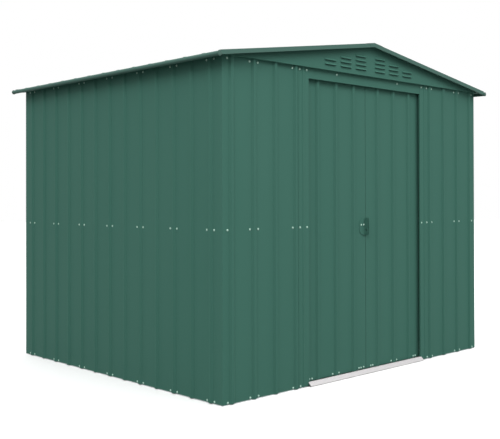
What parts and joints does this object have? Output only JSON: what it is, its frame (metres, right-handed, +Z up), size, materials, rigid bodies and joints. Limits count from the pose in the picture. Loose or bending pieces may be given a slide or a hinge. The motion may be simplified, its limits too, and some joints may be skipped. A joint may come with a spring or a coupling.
{
  "type": "metal storage shed",
  "caption": "Ribbed sheet-steel garden store with an apex roof, louvred gables, a pair of sliding doors and a threshold ramp.",
  "frame": {"origin": "on the ground under the middle of the shed, at the centre of its outline over the roof", "axes": "+Z up; the doors face -Y; +X is to the right when facing the doors"},
  "size_m": [2.5178, 2.23, 2.0332],
  "materials": {
    "wall_sheet": "semi-gloss dark green coating on ribbed steel sheet",
    "roof_sheet": "semi-gloss dark green coating on ribbed steel sheet",
    "trim": "semi-gloss dark green coating on folded flashings",
    "door_sheet": "semi-gloss dark green coating on ribbed steel sheet",
    "galvanised": "galvanised, matt",
    "threshold": "mill finish",
    "runner": "zinc plated",
    "handle": "semi-gloss dark green",
    "cap": "moulded"
  },
  "bodies": {
    "shed": {"front_base_rail": "galvanised", "back_base_rail": "galvanised", "left_base_rail": "galvanised", "right_base_rail": "galvanised", "corner_posts": "galvanised", "front_mid_rails": "galvanised", "back_mid_rail": "galvanised", "side_mid_rails": "galvanised", "front_top_rail": "galvanised", "back_top_rail": "galvanised", "side_top_rails": "galvanised", "ridge_beam": "galvanised", "roof_purlins": "galvanised", "door_top_track": "galvanised", "door_bottom_track": "galvanised", "front_wall_left": "wall_sheet", "front_wall_right": "wall_sheet", "back_wall": "wall_sheet", "left_wall": "wall_sheet", "right_wall": "wall_sheet", "front_gable": "wall_sheet", "back_gable": "wall_sheet", "left_roof_sheet": "roof_sheet", "right_roof_sheet": "roof_sheet", "left_door_jamb": "trim", "right_door_jamb": "trim", "door_lintel": "trim", "ridge_cap": "trim", "front_left_verge": "trim", "front_right_verge": "trim", "back_left_verge": "trim", "back_right_verge": "trim", "left_eave_roll": "trim", "right_eave_roll": "trim", "eave_end_caps": "cap", "threshold_ramp": "threshold"},
    "left_door": {"left_door_sheet": "door_sheet", "left_door_frame": "galvanised", "left_door_runners": "runner", "left_door_handle": "handle"},
    "right_door": {"right_door_sheet": "door_sheet", "right_door_frame": "galvanised", "right_door_runners": "runner", "right_door_handle": "handle"}
  },
  "joints": [
    {"name": "left_door_slide", "type": "slide", "parent": "shed", "child": "left_door", "axis": [-1, 0, 0], "range_m": [0, 0.515]},
    {"name": "right_door_slide", "type": "slide", "parent": "shed", "child": "right_door", "axis": [1, 0, 0], "range_m": [0, 0.515]}
  ]
}
